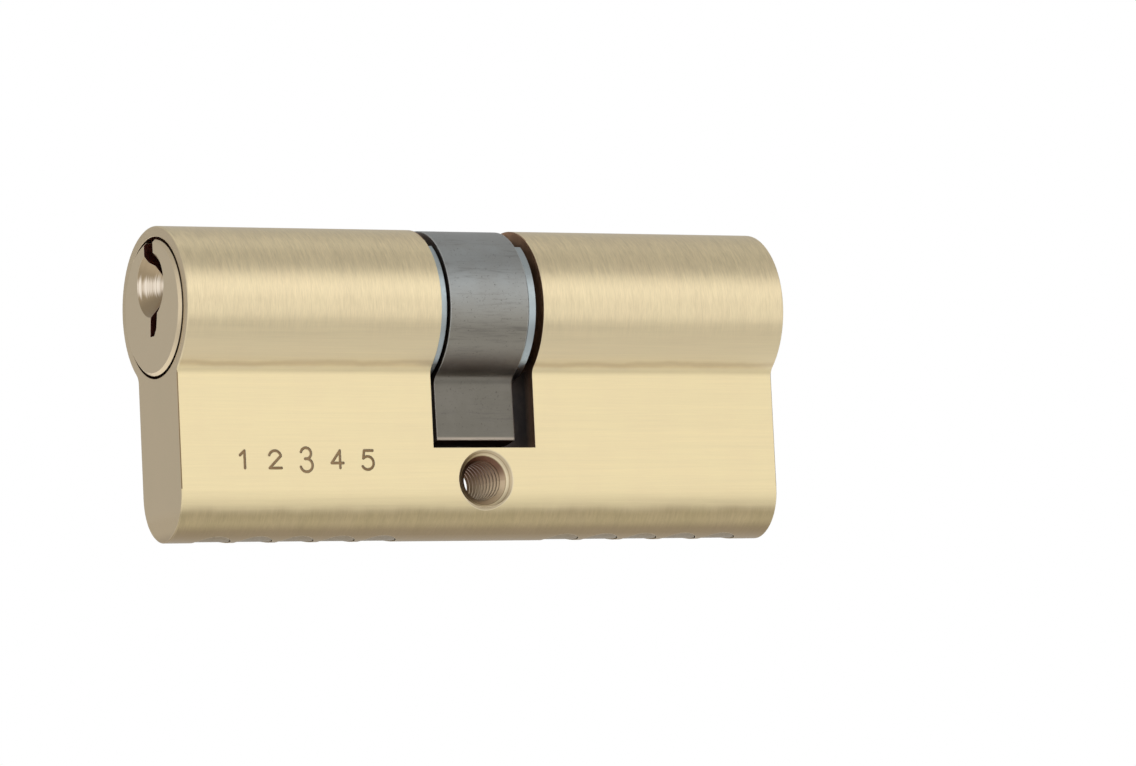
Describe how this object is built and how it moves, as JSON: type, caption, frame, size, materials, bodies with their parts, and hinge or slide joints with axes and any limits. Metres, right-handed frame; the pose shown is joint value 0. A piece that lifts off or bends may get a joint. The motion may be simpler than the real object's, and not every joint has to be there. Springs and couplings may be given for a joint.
{
  "type": "euro cylinder",
  "caption": "Double euro profile lock cylinder: brass housing with a web, a pinned key plug at each end, a turning cam with a lever between them, and a threaded fixing hole.",
  "frame": {"origin": "centre of the fixing screw's hole, in the middle of the web's width", "axes": "+X along the cylinder from the front face to the rear face, +Z from the web up to the round part, +Y across the web; the fixing screw goes in along +Y"},
  "size_m": [0.0703, 0.017, 0.033],
  "materials": {
    "housing_brass": "brushed, satin",
    "plug_brass": "fine satin, turned",
    "staked_brass": "pressed in and ground flush",
    "pin_brass": "turned",
    "driver_steel": "hardened, turned",
    "cam_steel": "sintered, dark grey, satin",
    "clip_steel": "bright zinc",
    "clutch_steel": "sintered",
    "spring_wire": "drawn wire"
  },
  "bodies": {
    "housing": {"housing": "housing_brass", "front_chamber_plugs": "staked_brass", "front_spring_1": "spring_wire", "front_spring_2": "spring_wire", "front_spring_3": "spring_wire", "front_spring_4": "spring_wire", "front_spring_5": "spring_wire", "rear_chamber_plugs": "staked_brass", "rear_spring_1": "spring_wire", "rear_spring_2": "spring_wire", "rear_spring_3": "spring_wire", "rear_spring_4": "spring_wire", "rear_spring_5": "spring_wire"},
    "cam": {"cam": "cam_steel"},
    "front_plug": {"front_plug": "plug_brass", "front_circlip": "clip_steel"},
    "rear_plug": {"rear_plug": "plug_brass", "rear_circlip": "clip_steel"},
    "front_clutch": {"front_clutch": "clutch_steel"},
    "rear_clutch": {"rear_clutch": "clutch_steel"},
    "front_key_pin_1": {"front_key_pin_1": "pin_brass"},
    "front_driver_pin_1": {"front_driver_pin_1": "driver_steel"},
    "front_key_pin_2": {"front_key_pin_2": "pin_brass"},
    "front_driver_pin_2": {"front_driver_pin_2": "driver_steel"},
    "front_key_pin_3": {"front_key_pin_3": "pin_brass"},
    "front_driver_pin_3": {"front_driver_pin_3": "driver_steel"},
    "front_key_pin_4": {"front_key_pin_4": "pin_brass"},
    "front_driver_pin_4": {"front_driver_pin_4": "driver_steel"},
    "front_key_pin_5": {"front_key_pin_5": "pin_brass"},
    "front_driver_pin_5": {"front_driver_pin_5": "driver_steel"},
    "rear_key_pin_1": {"rear_key_pin_1": "pin_brass"},
    "rear_driver_pin_1": {"rear_driver_pin_1": "driver_steel"},
    "rear_key_pin_2": {"rear_key_pin_2": "pin_brass"},
    "rear_driver_pin_2": {"rear_driver_pin_2": "driver_steel"},
    "rear_key_pin_3": {"rear_key_pin_3": "pin_brass"},
    "rear_driver_pin_3": {"rear_driver_pin_3": "driver_steel"},
    "rear_key_pin_4": {"rear_key_pin_4": "pin_brass"},
    "rear_driver_pin_4": {"rear_driver_pin_4": "driver_steel"},
    "rear_key_pin_5": {"rear_key_pin_5": "pin_brass"},
    "rear_driver_pin_5": {"rear_driver_pin_5": "driver_steel"}
  },
  "joints": [
    {"name": "front_plug_turn", "type": "hinge", "parent": "housing", "child": "front_plug", "pos_m": [0, 0, 0.0185], "axis": [1, 0, 0], "continuous": true},
    {"name": "rear_plug_turn", "type": "hinge", "parent": "housing", "child": "rear_plug", "pos_m": [0, 0, 0.0185], "axis": [1, 0, 0], "continuous": true},
    {"name": "cam_turn", "type": "hinge", "parent": "housing", "child": "cam", "pos_m": [0, 0, 0.0185], "axis": [1, 0, 0], "continuous": true},
    {"name": "front_clutch_slide", "type": "slide", "parent": "front_plug", "child": "front_clutch", "axis": [1, 0, 0], "range_m": [-0.0026, 0]},
    {"name": "rear_clutch_slide", "type": "slide", "parent": "rear_plug", "child": "rear_clutch", "axis": [1, 0, 0], "range_m": [-0.0026, 0]},
    {"name": "front_key_pin_1_lift", "type": "slide", "parent": "front_plug", "child": "front_key_pin_1", "axis": [0, 0, 1], "range_m": [0, 0.0028]},
    {"name": "front_driver_pin_1_press", "type": "slide", "parent": "housing", "child": "front_driver_pin_1", "axis": [0, 0, -1], "range_m": [0, 0.004], "stiffness_N_per_m": 80, "springref_m": -0.005, "deforming": ["front_spring_1"]},
    {"name": "front_key_pin_2_lift", "type": "slide", "parent": "front_plug", "child": "front_key_pin_2", "axis": [0, 0, 1], "range_m": [0, 0.0035]},
    {"name": "front_driver_pin_2_press", "type": "slide", "parent": "housing", "child": "front_driver_pin_2", "axis": [0, 0, -1], "range_m": [0, 0.004], "stiffness_N_per_m": 80, "springref_m": -0.005, "deforming": ["front_spring_2"]},
    {"name": "front_key_pin_3_lift", "type": "slide", "parent": "front_plug", "child": "front_key_pin_3", "axis": [0, 0, 1], "range_m": [0, 0.0024]},
    {"name": "front_driver_pin_3_press", "type": "slide", "parent": "housing", "child": "front_driver_pin_3", "axis": [0, 0, -1], "range_m": [0, 0.004], "stiffness_N_per_m": 80, "springref_m": -0.005, "deforming": ["front_spring_3"]},
    {"name": "front_key_pin_4_lift", "type": "slide", "parent": "front_plug", "child": "front_key_pin_4", "axis": [0, 0, 1], "range_m": [0, 0.0031]},
    {"name": "front_driver_pin_4_press", "type": "slide", "parent": "housing", "child": "front_driver_pin_4", "axis": [0, 0, -1], "range_m": [0, 0.004], "stiffness_N_per_m": 80, "springref_m": -0.005, "deforming": ["front_spring_4"]},
    {"name": "front_key_pin_5_lift", "type": "slide", "parent": "front_plug", "child": "front_key_pin_5", "axis": [0, 0, 1], "range_m": [0, 0.002]},
    {"name": "front_driver_pin_5_press", "type": "slide", "parent": "housing", "child": "front_driver_pin_5", "axis": [0, 0, -1], "range_m": [0, 0.004], "stiffness_N_per_m": 80, "springref_m": -0.005, "deforming": ["front_spring_5"]},
    {"name": "rear_key_pin_1_lift", "type": "slide", "parent": "rear_plug", "child": "rear_key_pin_1", "axis": [0, 0, 1], "range_m": [0, 0.0024]},
    {"name": "rear_driver_pin_1_press", "type": "slide", "parent": "housing", "child": "rear_driver_pin_1", "axis": [0, 0, -1], "range_m": [0, 0.004], "stiffness_N_per_m": 80, "springref_m": -0.005, "deforming": ["rear_spring_1"]},
    {"name": "rear_key_pin_2_lift", "type": "slide", "parent": "rear_plug", "child": "rear_key_pin_2", "axis": [0, 0, 1], "range_m": [0, 0.0031]},
    {"name": "rear_driver_pin_2_press", "type": "slide", "parent": "housing", "child": "rear_driver_pin_2", "axis": [0, 0, -1], "range_m": [0, 0.004], "stiffness_N_per_m": 80, "springref_m": -0.005, "deforming": ["rear_spring_2"]},
    {"name": "rear_key_pin_3_lift", "type": "slide", "parent": "rear_plug", "child": "rear_key_pin_3", "axis": [0, 0, 1], "range_m": [0, 0.0028]},
    {"name": "rear_driver_pin_3_press", "type": "slide", "parent": "housing", "child": "rear_driver_pin_3", "axis": [0, 0, -1], "range_m": [0, 0.004], "stiffness_N_per_m": 80, "springref_m": -0.005, "deforming": ["rear_spring_3"]},
    {"name": "rear_key_pin_4_lift", "type": "slide", "parent": "rear_plug", "child": "rear_key_pin_4", "axis": [0, 0, 1], "range_m": [0, 0.002]},
    {"name": "rear_driver_pin_4_press", "type": "slide", "parent": "housing", "child": "rear_driver_pin_4", "axis": [0, 0, -1], "range_m": [0, 0.004], "stiffness_N_per_m": 80, "springref_m": -0.005, "deforming": ["rear_spring_4"]},
    {"name": "rear_key_pin_5_lift", "type": "slide", "parent": "rear_plug", "child": "rear_key_pin_5", "axis": [0, 0, 1], "range_m": [0, 0.0035]},
    {"name": "rear_driver_pin_5_press", "type": "slide", "parent": "housing", "child": "rear_driver_pin_5", "axis": [0, 0, -1], "range_m": [0, 0.004], "stiffness_N_per_m": 80, "springref_m": -0.005, "deforming": ["rear_spring_5"]}
  ],
  "couplings": [
    {"joint": "cam_turn", "follows": "front_plug_turn", "ratio": 1},
    {"joint": "rear_clutch_slide", "follows": "front_clutch_slide", "ratio": 1}
  ]
}
